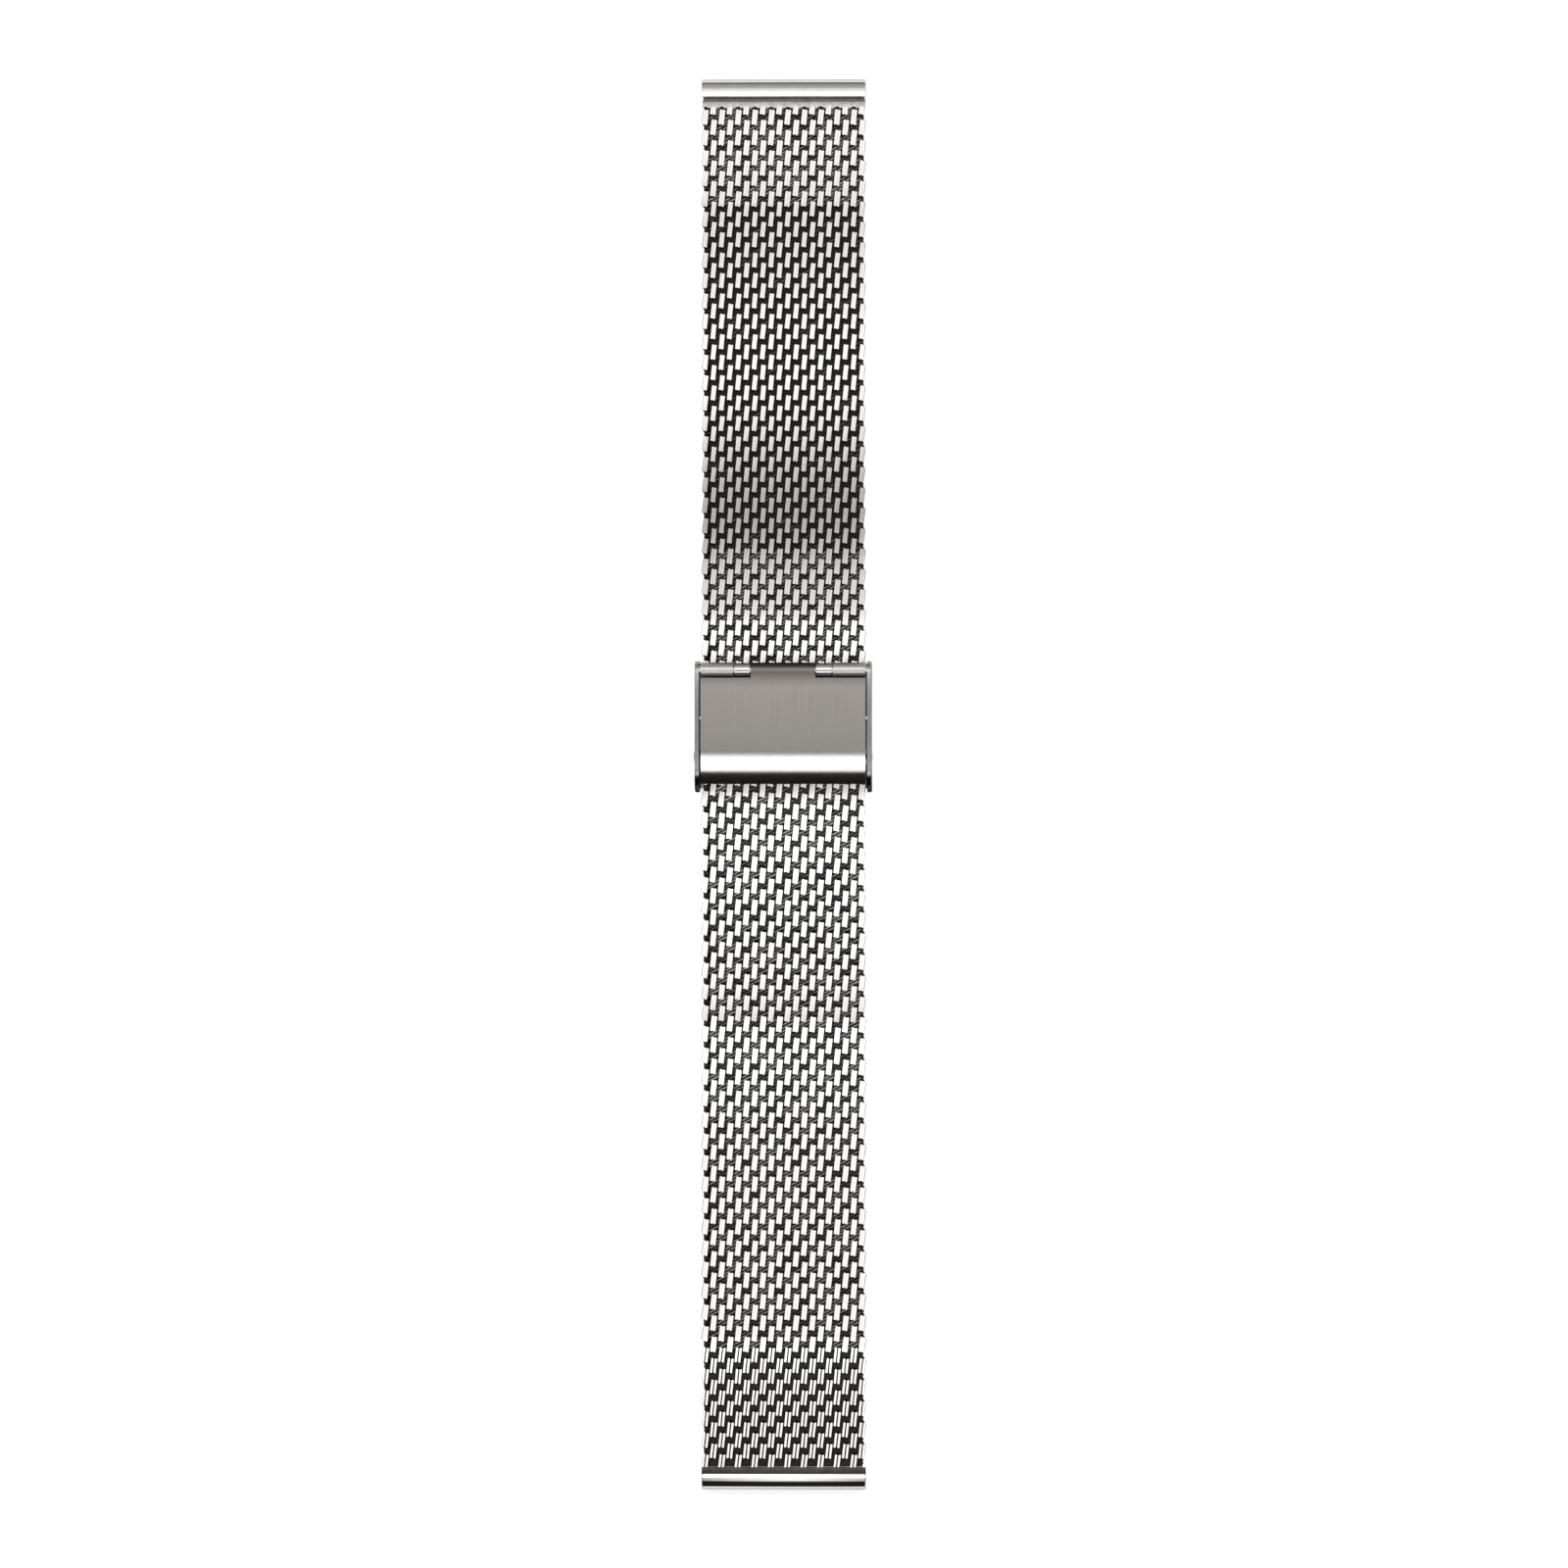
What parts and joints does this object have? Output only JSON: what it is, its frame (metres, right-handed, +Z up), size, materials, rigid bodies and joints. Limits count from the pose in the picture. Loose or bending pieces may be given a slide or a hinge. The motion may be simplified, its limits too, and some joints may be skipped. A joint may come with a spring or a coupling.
{
  "type": "watch band",
  "caption": "Milanese mesh watch band with lug tubes and a hinged cover clasp that slides along the long strap and hooks the short one.",
  "frame": {"origin": "on the table, under the middle of the closed band", "axes": "+X across the band, +Y along it towards the long strap's lug, +Z up, away from the wrist"},
  "size_m": [0.0216, 0.1706, 0.0053],
  "materials": {
    "mesh_wire": "polished woven wire",
    "polished_steel": "polished",
    "satin_steel": "brushed along the band",
    "stamped_steel": "satin stamped sheet"
  },
  "bodies": {
    "clasp": {"left_side_plate": "satin_steel", "right_side_plate": "satin_steel", "middle_plate": "stamped_steel", "keeper_strip": "stamped_steel", "hinge_pin": "polished_steel", "left_hinge_sleeve": "polished_steel", "right_hinge_sleeve": "polished_steel", "cross_bar": "polished_steel", "left_flap_rivet": "polished_steel", "right_flap_rivet": "polished_steel", "hook_plate": "stamped_steel", "short_mesh_in_clasp": "mesh_wire"},
    "cover": {"cover": "satin_steel"},
    "flap": {"locking_flap": "stamped_steel"},
    "long_slider": {"long_mesh_in_clasp": "mesh_wire", "long_strap_tip": "polished_steel"},
    "long_1": {"long_mesh_1": "mesh_wire"},
    "long_2": {"long_mesh_2": "mesh_wire"},
    "long_3": {"long_mesh_3": "mesh_wire"},
    "long_4": {"long_mesh_4": "mesh_wire"},
    "long_5": {"long_mesh_5": "mesh_wire"},
    "long_6": {"long_mesh_6": "mesh_wire"},
    "long_7": {"long_mesh_7": "mesh_wire", "long_strap_lug_tube": "polished_steel"},
    "short_1": {"short_mesh_1": "mesh_wire"},
    "short_2": {"short_mesh_2": "mesh_wire"},
    "short_3": {"short_mesh_3": "mesh_wire"},
    "short_4": {"short_mesh_4": "mesh_wire"},
    "short_5": {"short_mesh_5": "mesh_wire"},
    "short_6": {"short_mesh_6": "mesh_wire"},
    "short_7": {"short_mesh_7": "mesh_wire"},
    "short_8": {"short_mesh_8": "mesh_wire", "short_strap_lug_tube": "polished_steel"}
  },
  "joints": [
    {"name": "cover_hinge", "type": "hinge", "parent": "clasp", "child": "cover", "pos_m": [0, 0.01383, 0.00425], "axis": [-1, 0, 0], "range_deg": [0, 110]},
    {"name": "flap_hinge", "type": "hinge", "parent": "clasp", "child": "flap", "pos_m": [0, 0.01198, 0.001], "axis": [1, 0, 0], "range_deg": [0, 80]},
    {"name": "strap_slide", "type": "slide", "parent": "clasp", "child": "long_slider", "axis": [0, -1, 0], "range_m": [0, 0.006]},
    {"name": "long_bend_1", "type": "hinge", "parent": "long_slider", "child": "long_1", "pos_m": [0, 0.02206, 0.0012], "axis": [-1, 0, 0], "range_deg": [-20, 25]},
    {"name": "long_bend_2", "type": "hinge", "parent": "long_1", "child": "long_2", "pos_m": [0, 0.0307, 0.0012], "axis": [-1, 0, 0], "range_deg": [-20, 25]},
    {"name": "long_bend_3", "type": "hinge", "parent": "long_2", "child": "long_3", "pos_m": [0, 0.03934, 0.0012], "axis": [-1, 0, 0], "range_deg": [-20, 25]},
    {"name": "long_bend_4", "type": "hinge", "parent": "long_3", "child": "long_4", "pos_m": [0, 0.04799, 0.0012], "axis": [-1, 0, 0], "range_deg": [-20, 25]},
    {"name": "long_bend_5", "type": "hinge", "parent": "long_4", "child": "long_5", "pos_m": [0, 0.05663, 0.0012], "axis": [-1, 0, 0], "range_deg": [-20, 25]},
    {"name": "long_bend_6", "type": "hinge", "parent": "long_5", "child": "long_6", "pos_m": [0, 0.06528, 0.0012], "axis": [-1, 0, 0], "range_deg": [-20, 25]},
    {"name": "long_bend_7", "type": "hinge", "parent": "long_6", "child": "long_7", "pos_m": [0, 0.07393, 0.0012], "axis": [-1, 0, 0], "range_deg": [-20, 25]},
    {"name": "short_bend_1", "type": "hinge", "parent": "clasp", "child": "short_1", "pos_m": [0, -0.01035, 0.0028], "axis": [1, 0, 0], "range_deg": [-20, 22]},
    {"name": "short_bend_2", "type": "hinge", "parent": "short_1", "child": "short_2", "pos_m": [0, -0.01935, 0.002], "axis": [1, 0, 0], "range_deg": [-20, 22]},
    {"name": "short_bend_3", "type": "hinge", "parent": "short_2", "child": "short_3", "pos_m": [0, -0.02835, 0.0012], "axis": [1, 0, 0], "range_deg": [-20, 22]},
    {"name": "short_bend_4", "type": "hinge", "parent": "short_3", "child": "short_4", "pos_m": [0, -0.03739, 0.0012], "axis": [1, 0, 0], "range_deg": [-20, 22]},
    {"name": "short_bend_5", "type": "hinge", "parent": "short_4", "child": "short_5", "pos_m": [0, -0.04642, 0.0012], "axis": [1, 0, 0], "range_deg": [-20, 22]},
    {"name": "short_bend_6", "type": "hinge", "parent": "short_5", "child": "short_6", "pos_m": [0, -0.05546, 0.0012], "axis": [1, 0, 0], "range_deg": [-20, 22]},
    {"name": "short_bend_7", "type": "hinge", "parent": "short_6", "child": "short_7", "pos_m": [0, -0.0645, 0.0012], "axis": [1, 0, 0], "range_deg": [-20, 22]},
    {"name": "short_bend_8", "type": "hinge", "parent": "short_7", "child": "short_8", "pos_m": [0, -0.07353, 0.0012], "axis": [1, 0, 0], "range_deg": [-20, 22]}
  ]
}
